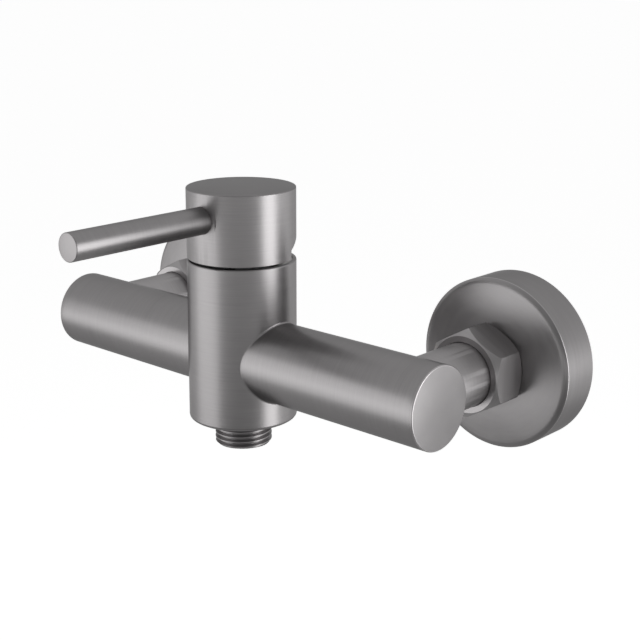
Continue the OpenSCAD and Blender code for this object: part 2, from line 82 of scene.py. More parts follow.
BODY_Y = middle("handle_cap", Y)
ARM_Z = middle("end_cap_left", Z)
INLET_X = middle("union_nut_right", X)
LEVER_Z = middle("lever_pin", Z)
CAP_LOW = place("handle_cap", LOW, Z)
CAP_HIGH = place("handle_cap", HIGH, Z)
RIM_Z = place("body_casting", HIGH, Z)
FOOT_Z = place("body_casting", LOW, Z)
ARM_CUT = place("body_casting", HIGH, X)
ARM_END = place("end_cap_right", HIGH, X)
BOSS_END = place("body_casting", HIGH, Y)
NUT_FRONT = place("union_nut_right", LOW, Y)
NUT_BACK = place("union_nut_right", HIGH, Y)
HOSE_END = place("hose_outlet", LOW, Z)
SPIGOT_TOP = place("hose_outlet", HIGH, Z)
LEVER_TIP = place("lever_pin", LOW, Y)
TAIL_END = place("lever_pin", HIGH, Y)

SIDES = ((-1, "left"), (1, "right"))
ACROSS, TO_WALL, UP = Vector((1, 0, 0)), Vector((0, 1, 0)), Vector((0, 0, 1))
ARM_CENTRE = Vector((0, BODY_Y, ARM_Z))

# How near counts as touching, in metres
MERGED = 1e-7
MERGED_CUT = 1e-6
LEVEL = 2e-6
ON_BAR = 4e-6
SKIN = 0.02 * MM


class MixerSizes(bpy.types.PropertyGroup):
    """Sizes of the visible pieces."""

    body_radius: FloatProperty(
        name="Body radius", description="Radius of the barrel and of the cap",
        default=span("handle_cap", X) / 2, unit="LENGTH")
    arm_radius: FloatProperty(
        name="Arm radius", description="Radius of the two arms",
        default=span("end_cap_left", Z) / 2, unit="LENGTH")
    boss_radius: FloatProperty(
        name="Boss radius", description="Radius of the boss behind each arm",
        default=11.35 * MM, unit="LENGTH")
    foot_round: FloatProperty(
        name="Foot rounding", description="Rounding of the body's lower edge",
        default=1.2 * MM, unit="LENGTH")
    rim_round: FloatProperty(
        name="Rim rounding", description="Rounding of the body's rim under the cap",
        default=0.6 * MM, unit="LENGTH")
    arm_fillet: FloatProperty(
        name="Arm fillet", description="Fillet where an arm meets the barrel",
        default=0.7 * MM, unit="LENGTH")
    boss_fillet: FloatProperty(
        name="Boss fillet", description="Fillet where a boss meets its arm",
        default=0.5 * MM, unit="LENGTH")
    end_round: FloatProperty(
        name="Arm end rounding", description="Rounding of the end caps",
        default=0.45 * MM, unit="LENGTH")
    cap_round: FloatProperty(
        name="Cap rounding", description="Rounding of the cap's top edge",
        default=0.4 * MM, unit="LENGTH")
    cap_cut_start: FloatProperty(
        name="Cap cut start", description="Where the cut at the cap's rear starts, behind the axis",
        default=6.5 * MM, unit="LENGTH")
    cap_cut_step: FloatProperty(
        name="Cap cut step", description="Height of the upright step where that cut starts",
        default=3.5 * MM, unit="LENGTH")
    cap_cut_slope: FloatProperty(
        name="Cap cut slope", description="Slope of the cut at the cap's rear",
        default=math.radians(28), unit="ROTATION")
    lever_radius: FloatProperty(
        name="Lever radius", description="Radius of the lever",
        default=span("lever_pin", X) / 2, unit="LENGTH")
    plate_radius: FloatProperty(
        name="Escutcheon radius", description="Radius of the escutcheons",
        default=span("escutcheon_right", X) / 2, unit="LENGTH")
    plate_round: FloatProperty(
        name="Escutcheon rounding", description="Rounding between the rim and the face",
        default=3.5 * MM, unit="LENGTH")
    plate_slope: FloatProperty(
        name="Escutcheon edge slope", description="Slope at which that rounding meets the rim",
        default=math.radians(50), unit="ROTATION")
    plate_wall: FloatProperty(
        name="Escutcheon wall", description="Thickness of the escutcheon's sheet",
        default=1.6 * MM, unit="LENGTH")
    dome_radius: FloatProperty(
        name="Dome radius", description="Radius of the escutcheon's domed face",
        default=200 * MM, unit="LENGTH")
    nut_slope: FloatProperty(
        name="Nut bevel slope", description="Slope of the bevel on the nut's corners",
        default=math.radians(45), unit="ROTATION")
    nut_bevel: FloatProperty(
        name="Nut bevel", description="Depth of the bevel along the nut's axis",
        default=2.7 * MM, unit="LENGTH")
    thread_pitch: FloatProperty(
        name="Thread pitch", description="Pitch of the half inch pipe threads",
        default=1.814 * MM, unit="LENGTH")
    thread_depth: FloatProperty(
        name="Thread depth", description="Depth of the pipe threads",
        default=1.05 * MM, unit="LENGTH")
    sides: IntProperty(
        name="Sides", description="Sides of the largest turned pieces", default=192, min=48)


class MixerFinish(bpy.types.PropertyGroup):
    """Colours and surface of the metal."""

    metal_tint: FloatVectorProperty(
        name="Gun-metal", description="Colour of the brushed gun-metal",
        subtype="COLOR", default=(0.307, 0.297, 0.300), size=3, min=0, max=1)
    brass_tint: FloatVectorProperty(
        name="Brass", description="Colour of the bare brass behind the escutcheons",
        subtype="COLOR", default=(0.62, 0.47, 0.22), size=3, min=0, max=1)
    metal_roughness: FloatProperty(
        name="Roughness", description="Roughness of the brushed gun-metal", default=0.34, min=0, max=1)
    line_depth: FloatProperty(
        name="Brush lines", description="Strength of the fine brush lines", default=0.25, min=0, max=1)


class MixerStudio(bpy.types.PropertyGroup):
    """Camera and lamps, as directions seen from the middle of the body."""

    camera_azimuth: FloatProperty(
        name="Camera azimuth", description="Turn of the camera round the body, from the front",
        default=math.radians(45.94), unit="ROTATION")
    camera_height: FloatProperty(
        name="Camera elevation", description="Height of the camera above the arms, as an angle",
        default=math.radians(17.224), unit="ROTATION")
    camera_distance: FloatProperty(
        name="Camera distance", description="Distance of the camera from the body's axis",
        default=0.49301, unit="LENGTH")
    camera_yaw: FloatProperty(
        name="Camera yaw", description="Turn of the view away from the body's axis",
        default=math.radians(-3.428), unit="ROTATION")
    camera_pitch: FloatProperty(
        name="Camera pitch", description="Downward tilt of the view",
        default=math.radians(11.125), unit="ROTATION")
    camera_lens: FloatProperty(
        name="Lens", description="Focal length on a 36 mm sensor, in millimetres", default=75.447)
    camera_shift: FloatProperty(
        name="Shift", description="Vertical shift of the frame", default=-0.175)
    floor_drop: FloatProperty(
        name="Floor", description="Depth of the floor below the arms", default=0.42, unit="LENGTH")


def sizes():
    """The sizes in use."""
    return bpy.context.scene.mixer_sizes


def finish():
    """The colours and surface in use."""
    return bpy.context.scene.mixer_finish


# Meshes


def turned(rows, sides, closed=False):
    """A piece turned about Z from rows of radius, height and, where given, corner rounding."""
    bm = bmesh.new()
    points = [bm.verts.new((row[0], 0, row[1])) for row in rows]
    followers = points[1:] + points[:1] if closed else points[1:]
    for a, b in zip(points, followers):
        bm.edges.new((a, b))
    for point, row in zip(points, rows):
        if len(row) > 2:
            bmesh.ops.bevel(bm, geom=[point], offset=row[2], offset_type="OFFSET", segments=4,
                            profile=0.5, affect="VERTICES", material=-1)
    bmesh.ops.spin(bm, geom=bm.verts[:] + bm.edges[:], cent=(0, 0, 0), axis=(0, 0, 1),
                   angle=math.tau, steps=sides, use_merge=True)
    bmesh.ops.remove_doubles(bm, verts=bm.verts, dist=MERGED)
    bmesh.ops.recalc_face_normals(bm, faces=bm.faces)
    return bm


def rod(radius, start, end, sides=96, rounding=None):
    """A plain round bar along Z, with its far edge rounded if asked."""
    far = (radius, end, rounding) if rounding else (radius, end)
    return turned([(0, start), (radius, start), far, (0, end)], sides)


def block(width, depth, start, end):
    """A box centred on Z between two heights."""
    bm = bmesh.new()
    bmesh.ops.create_cube(bm, size=1)
    bmesh.ops.scale(bm, vec=(width, depth, end - start), verts=bm.verts)
    bmesh.ops.translate(bm, vec=(0, 0, (start + end) / 2), verts=bm.verts)
    return bm


def laid(bm, axis="Z", at=(0, 0, 0)):
    """Turns a piece's Z axis on to X, Y or -Y, and moves it into place."""
    turns = {
        "Z": Matrix.Identity(4),
        "X": Matrix.Rotation(math.pi / 2, 4, "Y"),
        "-X": Matrix.Rotation(-math.pi / 2, 4, "Y"),
        "Y": Matrix.Rotation(-math.pi / 2, 4, "X"),
        "-Y": Matrix.Rotation(math.pi / 2, 4, "X"),
    }
    bmesh.ops.transform(bm, matrix=Matrix.Translation(at) @ turns[axis], verts=bm.verts)
    return bm


def working_object(bm, name):
    """An object in the scene from a bmesh, which is freed."""
    mesh = bpy.data.meshes.new(name)
    bm.to_mesh(mesh)
    bm.free()
    obj = bpy.data.objects.new(name, mesh)
    bpy.context.scene.collection.objects.link(obj)
    return obj


def carved(base, *steps):
    """A mesh with others joined to it, cut from it or kept in common, in the order given."""
    work = working_object(base, "work")
    tools = []
    for operation, tool in steps:
        other = working_object(tool, "tool")
        tools.append(other)
        step = work.modifiers.new(operation, "BOOLEAN")
        step.operation = operation
        step.solver = "EXACT"
        step.object = other
    graph = bpy.context.evaluated_depsgraph_get()
    mesh = bpy.data.meshes.new_from_object(work.evaluated_get(graph))
    bm = bmesh.new()
    bm.from_mesh(mesh)
    bpy.data.meshes.remove(mesh)
    for obj in [work, *tools]:
        spare = obj.data
        bpy.data.objects.remove(obj)
        bpy.data.meshes.remove(spare)
    bmesh.ops.remove_doubles(bm, verts=bm.verts, dist=MERGED_CUT)
    return bm


def node_copy(node):
    """A merged copy of a CAD node's mesh."""
    bm = bmesh.new()
    bm.from_mesh(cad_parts[node].data)
    bmesh.ops.remove_doubles(bm, verts=bm.verts, dist=MERGED)
    return bm


def thread_groove(radius, depth, pitch, start, end, sides=48):
    """The V groove of a pipe thread about Z, as a closed helical bar to cut with."""
    bm = bmesh.new()
    half = pitch / 2
    root, mouth = 0.08 * half, 0.98 * half
    deep, clear = radius - depth, radius + 0.3 * depth
    section = [(deep, -root), (clear, -mouth), (clear, mouth), (deep, root)]
    bm.faces.new([bm.verts.new((r, 0, start + h)) for r, h in section])
    turns = (end - start) / pitch
    steps = int(turns * sides)
    bmesh.ops.spin(bm, geom=bm.verts[:] + bm.edges[:] + bm.faces[:], cent=(0, 0, 0), axis=(0, 0, 1),
                   dvec=(0, 0, (end - start) / steps), angle=math.tau * turns, steps=steps)
    bmesh.ops.recalc_face_normals(bm, faces=bm.faces)
    return bm


def junction_fillet(main_radius, side_radius, rounding, sides=160, steps=6):
    """The fillet where a bar along X leaves a bar along Z, as a closed ring.

    It follows a ball that rolls round the junction and touches both bars; its last loop is sunk in the metal.
    """
    bm = bmesh.new()
    sunk = 0.3 * MM
    inner = side_radius - sunk
    outer = side_radius + rounding
    loops = []
    for step in range(steps + 2):
        made = bmesh.ops.create_circle(bm, segments=sides, radius=side_radius)["verts"]
        for i, vert in enumerate(made):
            angle = math.tau * i / sides
            across, up = math.cos(angle), math.sin(angle)
            if step > steps:
                reach = math.sqrt(main_radius ** 2 - (inner * across) ** 2) - sunk
                vert.co = (reach, inner * across, inner * up)
                continue
            reach = math.sqrt((main_radius + rounding) ** 2 - (outer * across) ** 2)
            ball = Vector((reach, outer * across, outer * up))
            to_main = -Vector((ball.x, ball.y, 0)).normalized()
            to_side = -Vector((0, across, up))
            vert.co = ball + rounding * to_main.slerp(to_side, step / steps)
        loops.append([edge for edge in bm.edges if all(v in made for v in edge.verts)])
    for near, far in zip(loops, loops[1:] + loops[:1]):
        bmesh.ops.bridge_loops(bm, edges=near + far)
    bmesh.ops.recalc_face_normals(bm, faces=bm.faces)
    return bm


def edges_near(bm, test):
    """Edges whose two ends pass a test and whose faces meet at a corner."""
    return [e for e in bm.edges
            if len(e.link_faces) == 2 and e.calc_face_angle(0) > math.radians(25)
            and all(test(v.co) for v in e.verts)]


def soften(bm, edges, width, segments=2):
    """Rounds a few edges."""
    bmesh.ops.bevel(bm, geom=edges, offset=width, offset_type="OFFSET", segments=segments,
                    profile=0.5, affect="EDGES", clamp_overlap=True, material=-1)


def true_normals(mesh, bars):
    """Gives the faces that lie on a round bar its exact normals; bars are (point, direction, radius)."""
    normals = [Vector(corner.vector) for corner in mesh.corner_normals]
    for face in mesh.polygons:
        points = [mesh.vertices[i].co for i in face.vertices]
        for point, direction, radius in bars:
            reach = []
            for p in points:
                out = p - point
                reach.append(out - out.dot(direction) * direction)
            if all(abs(r.length - radius) < ON_BAR for r in reach):
                side = 1 if face.normal.dot(sum(reach, Vector())) > 0 else -1
                if abs(face.normal.dot(direction)) < 0.1:
                    for corner, out in zip(face.loop_indices, reach):
                        normals[corner] = side * out.normalized()
                break
    mesh.normals_split_custom_set(normals)


def finished(name, bm, body, materials, replaces=(), bars=(), paint=None, sharp=28,
             flat_ends=False):
    """Makes a mesh a piece: shading, finish, body, slot and the CAD nodes that it stands for.

    Paint gives a face's material by its centre, sharp is the angle in degrees from which an edge stays crisp,
    and flat_ends shades the faces that look along Y as flat.
    """
    mesh = bpy.data.meshes.new(name)
    bm.to_mesh(mesh)
    bm.free()
    for material in materials:
        mesh.materials.append(material)
    if paint:
        for face in mesh.polygons:
            face.material_index = paint(face.center)
    mesh.shade_smooth()
    mesh.set_sharp_from_angle(angle=math.radians(sharp))
    if flat_ends:
        for face in mesh.polygons:
            face.use_smooth = abs(face.normal.y) < 0.9999
    if bars:
        true_normals(mesh, bars)
    obj = bpy.data.objects.new(name, mesh)
    bpy.context.scene.collection.objects.link(obj)
    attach(obj, body)
    if replaces:
        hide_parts(*replaces)
    return obj


# Finishes


def blank_material(name):
    """A new material and its emptied node tree."""
    material = bpy.data.materials.new(name)
    material.use_nodes = True
    material.node_tree.nodes.clear()
    return material, material.node_tree


def grey(level):
    """A grey as a colour socket takes it."""
    return level, level, level, 1


def value_math(tree, operation, a, b):
    """A Math node on two values or sockets."""
    node = tree.nodes.new("ShaderNodeMath")
    node.operation = operation
    for socket, value in zip(node.inputs, (a, b)):
        if isinstance(value, bpy.types.NodeSocket):
            tree.links.new(value, socket)
        else:
            socket.default_value = value
    return node.outputs[0]


def noise(tree, where, scale, detail, roughness=0.5):
    """The value of a noise texture at a place."""
    node = tree.nodes.new("ShaderNodeTexNoise")
    node.inputs["Scale"].default_value = scale
    node.inputs["Detail"].default_value = detail
    node.inputs["Roughness"].default_value = roughness
    tree.links.new(where, node.inputs["Vector"])
    return node.outputs["Fac"]


def worked_surface_group():
    """Shared surface: fine lines across one axis, faint clouds, and roughness that follows them."""
    found = bpy.data.node_groups.get("worked_surface")
    if found:
        return found
    group = bpy.data.node_groups.new("worked_surface", "ShaderNodeTree")
    taken = (("Tint", "NodeSocketColor", (0.5, 0.5, 0.5, 1)), ("Roughness", "NodeSocketFloat", 0.3),
             ("Grain", "NodeSocketVector", (90, 90, 3000)), ("Contrast", "NodeSocketFloat", 0.12),
             ("Clouds", "NodeSocketFloat", 0.06))
    for name, kind, default in taken:
        socket = group.interface.new_socket(name, in_out="INPUT", socket_type=kind)
        socket.default_value = default
    passed_on = (("Color", "NodeSocketColor"), ("Roughness", "NodeSocketFloat"),
                 ("Height", "NodeSocketFloat"))
    for name, kind in passed_on:
        group.interface.new_socket(name, in_out="OUTPUT", socket_type=kind)
    nodes, links = group.nodes, group.links
    given = nodes.new("NodeGroupInput")
    result = nodes.new("NodeGroupOutput")
    where = nodes.new("ShaderNodeTexCoord")
    stretch = nodes.new("ShaderNodeVectorMath")
    stretch.operation = "MULTIPLY"
    links.new(where.outputs["Object"], stretch.inputs[0])
    links.new(given.outputs["Grain"], stretch.inputs[1])
    fine = noise(group, stretch.outputs[0], 1.0, 3.0, 0.6)
    coarse = noise(group, stretch.outputs[0], 0.27, 1.0)
    clouds = noise(group, where.outputs["Object"], 70.0, 2.0)

    def combined(operation, a, b):
        return value_math(group, operation, a, b)

    lines = combined("ADD", combined("MULTIPLY", fine, 0.65), combined("MULTIPLY", coarse, 0.35))
    line_swing = combined("MULTIPLY", combined("SUBTRACT", lines, 0.5), given.outputs["Contrast"])
    cloud_swing = combined("MULTIPLY", combined("SUBTRACT", clouds, 0.5), given.outputs["Clouds"])
    swing = combined("ADD", line_swing, cloud_swing)
    level = combined("ADD", combined("MULTIPLY", swing, 2.0), 1.0)
    shade = nodes.new("ShaderNodeVectorMath")
    shade.operation = "SCALE"
    links.new(given.outputs["Tint"], shade.inputs[0])
    links.new(level, shade.inputs["Scale"])
    links.new(shade.outputs[0], result.inputs["Color"])
    links.new(combined("ADD", given.outputs["Roughness"], swing), result.inputs["Roughness"])
    links.new(lines, result.inputs["Height"])
    return group


# Noise scale along each axis, by the axis that the lines run across
GRAIN = {"X": (3200, 90, 90), "Y": (90, 3200, 90), "Z": (90, 90, 3200), "none": (900, 900, 900)}
LINE_HEIGHT = 0.02 * MM
METAL_EDGE_TINT = 0.55


def worked_material(name, tint, roughness, grain="none", metallic=1.0, contrast=0.12, clouds=0.06,
                    lines=0.25):
    """A material on the shared surface; grain names the axis that its lines run across."""
    found = bpy.data.materials.get(name)
    if found:
        return found
    material, tree = blank_material(name)
    nodes, links = tree.nodes, tree.links
    surface = nodes.new("ShaderNodeGroup")
    surface.node_tree = worked_surface_group()
    for given, value in (("Tint", (*tint, 1)), ("Roughness", roughness), ("Grain", GRAIN[grain]),
                         ("Contrast", contrast), ("Clouds", clouds)):
        surface.inputs[given].default_value = value
    bump = nodes.new("ShaderNodeBump")
    bump.inputs["Strength"].default_value = lines
    bump.inputs["Distance"].default_value = LINE_HEIGHT
    shader = nodes.new("ShaderNodeBsdfPrincipled")
    shader.inputs["Metallic"].default_value = metallic
    if metallic:
        shader.inputs["Specular Tint"].default_value = grey(METAL_EDGE_TINT)
    output = nodes.new("ShaderNodeOutputMaterial")
    links.new(surface.outputs["Color"], shader.inputs["Base Color"])
    links.new(surface.outputs["Roughness"], shader.inputs["Roughness"])
    links.new(surface.outputs["Height"], bump.inputs["Height"])
    links.new(bump.outputs["Normal"], shader.inputs["Normal"])
    links.new(shader.outputs["BSDF"], output.inputs["Surface"])
    return material


def gun_metal(axis, name="gun_metal_", rougher=0.0, lighter=1.0):
    """Brushed gun-metal with its lines across one axis."""
    tint = [lighter * part for part in finish().metal_tint]
    return worked_material(name + axis.lower(), tint, finish().metal_roughness + rougher,
                           grain=axis, lines=finish().line_depth, contrast=0.16)


def lever_metal():
    """The lever's finish, a little rougher, and a little lighter as painted light that brightens its
    reflections.
    """
    return gun_metal("Y", "lever_metal_", rougher=0.03, lighter=1.03)


def nut_metal():
    """The nuts' finish, lighter because arm and escutcheon shade them."""
    return gun_metal("Y", "nut_metal_", lighter=1.32)


def boss_metal():
    """The finish of the bosses, lighter because the arm shades them."""
    return gun_metal("Y", "boss_metal_", lighter=1.36)


def painted_highlight_edge(axis):
    """Gun-metal painted much lighter along a rounded edge: a painted highlight."""
    return gun_metal(axis, "painted_highlight_edge_", rougher=-0.04, lighter=1.6)


def brass():
    """Turned brass, bare."""
    return worked_material("turned_brass", finish().brass_tint, 0.34, grain="Y", contrast=0.18, lines=0.4)


def plated_brass():
    """Brass under dull nickel, toned much darker than nickel as painted shade, so that the gap under the cap,
    where it shows, reads dark.
    """
    return worked_material("plated_brass", (0.11, 0.108, 0.105), 0.5, grain="Z", contrast=0.15)


def black_rubber():
    """Matt rubber of the seals."""
    return worked_material("black_rubber", (0.025, 0.025, 0.026), 0.62, metallic=0, contrast=0.3, lines=0.5)


def bare_steel():
    """Bright stainless steel."""
    return worked_material("bare_steel", (0.52, 0.53, 0.54), 0.28, grain="Z", contrast=0.15)


def dark_steel():
    """Blackened steel of the grub screw."""
    return worked_material("dark_steel", (0.09, 0.09, 0.095), 0.36, contrast=0.2)


def plastic(name, tint):
    """Moulded plastic in a colour."""
    return worked_material(name, tint, 0.42, metallic=0, contrast=0.04, clouds=0.04, lines=0.3)


def ceramic():
    """Lapped ceramic of the two discs."""
    return worked_material("lapped_ceramic", (0.86, 0.85, 0.82), 0.16, metallic=0, contrast=0.03,
                           clouds=0.02, lines=0.05)


# Pieces


# Inside the body: nipple chamber, cartridge well, water ways and the seats of the inlet nipples
CHAMBER_RADIUS, CHAMBER_HEIGHT = 10.5 * MM, 3 * MM
NIPPLE_HOLE = 8.55 * MM
RIM_WALL = 1.45 * MM
WELL_RADIUS, WELL_FLOOR, WELL_LEDGE = 17.55 * MM, ARM_Z + 7 * MM, ARM_Z + 28.3 * MM
ARM_BORE, ARM_BORE_START = 9.8 * MM, 4 * MM
FEED_BORE, FEED_START, FEED_END = 4.2 * MM, 4.3 * MM, 5 * MM
PORT_BORE, PORT_HEIGHT, PORT_OUT, PORT_FORWARD = 2.8 * MM, 8 * MM, 8.5 * MM, 2 * MM
MIXED_PORT_BACK = 7.5 * MM
BOSS_BORE, INLET_SEAT, INLET_SEAT_START, PAST_BOSS = 6.5 * MM, 8.75 * MM, 21.7 * MM, 40 * MM
BOSS_PAINT_START = 8 * MM


class MIXER_OT_body(bpy.types.Operator):
    """Makes the body casting: barrel, arms, bosses and their bores, with a fillet at each junction"""

    bl_idname = "mixer.body"
    bl_label = "Body casting"

    def execute(self, context):
        s = sizes()
        steps = [("UNION", laid(rod(s.arm_radius, -ARM_CUT, ARM_CUT, 144), "X", ARM_CENTRE))]
        for side, _ in SIDES:
            boss = rod(s.boss_radius, 0, BOSS_END - BODY_Y, 96, 0.3 * MM)
            steps.append(("UNION", laid(boss, "Y", (side * INLET_X, BODY_Y, ARM_Z))))
        for side, _ in SIDES:
            steps += [("DIFFERENCE", bore) for bore in self.bores(side)]
        mixed_port = rod(PORT_BORE, SPIGOT_TOP, ARM_Z + PORT_HEIGHT, 48)
        steps.append(("DIFFERENCE", laid(mixed_port, "Z", (0, BODY_Y + MIXED_PORT_BACK, 0))))
        body = carved(self.barrel(), *steps)
        bars = [(ARM_CENTRE, UP, s.body_radius), (ARM_CENTRE, ACROSS, s.arm_radius)]
        bars += [(Vector((side * INLET_X, BODY_Y, ARM_Z)), TO_WALL, s.boss_radius) for side, _ in SIDES]
        finished("body", body, "fixture", [gun_metal("Z"), gun_metal("X"), boss_metal()],
                 replaces=["body_casting"], bars=bars, paint=self.metal_of)
        self.fillets()
        return {"FINISHED"}

    @staticmethod
    def barrel():
        """The upright barrel with its cartridge well and the hole for the hose nipple."""
        s = sizes()
        radius = s.body_radius
        barrel = turned([
            (0, SPIGOT_TOP + CHAMBER_HEIGHT), (CHAMBER_RADIUS, SPIGOT_TOP + CHAMBER_HEIGHT),
            (CHAMBER_RADIUS, SPIGOT_TOP), (NIPPLE_HOLE, SPIGOT_TOP), (NIPPLE_HOLE, FOOT_Z),
            (radius, FOOT_Z, s.foot_round), (radius, RIM_Z, s.rim_round),
            (radius - RIM_WALL, RIM_Z, 0.15 * MM), (radius - RIM_WALL, WELL_LEDGE),
            (WELL_RADIUS, WELL_LEDGE), (WELL_RADIUS, WELL_FLOOR), (0, WELL_FLOOR)], s.sides)
        return laid(barrel, "Z", (0, BODY_Y, 0))

    @staticmethod
    def bores(side):
        """One side's water way: arm bore, feed, port under the cartridge, boss bore and nipple seat."""
        radius = sizes().body_radius
        along = "X" if side > 0 else "-X"
        boss = (side * INLET_X, BODY_Y, ARM_Z)
        port = (side * PORT_OUT, BODY_Y - PORT_FORWARD, ARM_Z)
        return [
            laid(rod(ARM_BORE, radius + ARM_BORE_START, ARM_END), along, ARM_CENTRE),
            laid(rod(FEED_BORE, FEED_START, radius + FEED_END, 48), along, ARM_CENTRE),
            laid(rod(PORT_BORE, 0, PORT_HEIGHT, 48), "Z", port),
            laid(rod(BOSS_BORE, 0, PAST_BOSS, 64), "Y", boss),
            laid(rod(INLET_SEAT, INLET_SEAT_START, PAST_BOSS, 64), "Y", boss)]

    @staticmethod
    def metal_of(centre):
        """The material of a face: 0 on the barrel, 2 on a boss, 1 on the arms and inside."""
        s = sizes()
        if math.hypot(centre.x, centre.y - BODY_Y) < s.body_radius + SKIN:
            return 0
        beside = math.hypot(abs(centre.x) - INLET_X, centre.z - ARM_Z)
        return 2 if centre.y > BODY_Y + BOSS_PAINT_START and beside < s.boss_radius + SKIN else 1

    @staticmethod
    def fillets():
        """A fillet ring at each arm and at each boss."""
        s = sizes()
        half_turn = Matrix.Rotation(math.pi, 3, "Z")
        # An arm stands for the upright bar: Z on to X, and the boss's X on to Y
        arm_upright = Matrix(((0, 0, 1), (1, 0, 0), (0, 1, 0))).to_4x4()
        for side, word in SIDES:
            fillet = junction_fillet(s.body_radius, s.arm_radius, s.arm_fillet)
            if side < 0:
                bmesh.ops.rotate(fillet, cent=(0, 0, 0), matrix=half_turn, verts=fillet.verts)
            laid(fillet, "Z", ARM_CENTRE)
            finished("arm_fillet_" + word, fillet, "fixture", [gun_metal("X")])
            fillet = junction_fillet(s.arm_radius, s.boss_radius, s.boss_fillet, 96)
            bmesh.ops.transform(fillet, matrix=arm_upright, verts=fillet.verts)
            laid(fillet, "Z", (side * INLET_X, BODY_Y, ARM_Z))
            finished("boss_fillet_" + word, fillet, "fixture", [boss_metal()])


PLUG_RADIUS, PLUG_BORE = 9.75 * MM, 7.3 * MM


class MIXER_OT_end_caps(bpy.types.Operator):
    """Makes the two end caps: a disc with a rounded edge on a hollow spigot"""

    bl_idname = "mixer.end_caps"
    bl_label = "End caps"

    @staticmethod
    def on_rounding(centre):
        """One on the rounding between an end cap's face and its side, where the painted highlight goes."""
        s = sizes()
        out = math.hypot(centre.y - BODY_Y, centre.z - ARM_Z)
        return int(abs(centre.x) > ARM_END - s.end_round and out > s.arm_radius - s.end_round)

    def execute(self, context):
        s = sizes()
        inner = place("end_cap_right", LOW, X)
        for along, word in (("-X", "left"), ("X", "right")):
            cap = turned([
                (0, ARM_CUT), (PLUG_BORE, ARM_CUT), (PLUG_BORE, inner), (PLUG_RADIUS, inner, 0.3 * MM),
                (PLUG_RADIUS, ARM_CUT), (s.arm_radius, ARM_CUT), (s.arm_radius, ARM_END, s.end_round),
                (0, ARM_END)], 144)
            laid(cap, along, ARM_CENTRE)
            # The rounding gets the painted highlight: a bright line painted along the edge
            finished("arm_end_" + word, cap, "fixture", [gun_metal("X"), painted_highlight_edge("X")],
                     replaces=["end_cap_" + word], paint=self.on_rounding)
        return {"FINISHED"}


# Inside the handle cap: wall, roof, widened mouth, boss for the stem, cross rib and holes
CAP_WALL, CAP_ROOF = 1.9 * MM, 3.5 * MM
CAP_LIP, CAP_MOUTH = 0.35 * MM, 1.55 * MM
STEM_BOSS, STEM_BOSS_START, ROOF_SKIN = 7.4 * MM, 5 * MM, 1 * MM
RIB_WALL, RIB_SHORT = 1.7 * MM, 1 * MM
STEM_WIDTH, STEM_SLACK = 8 * MM, 0.2 * MM
TAIL_HOLE, SCREW_HOLE, LEVER_SEAT_DEPTH, LEVER_SLACK = 4.05 * MM, 2.55 * MM, 5 * MM, 0.05 * MM
PAST_CAP = 25 * MM


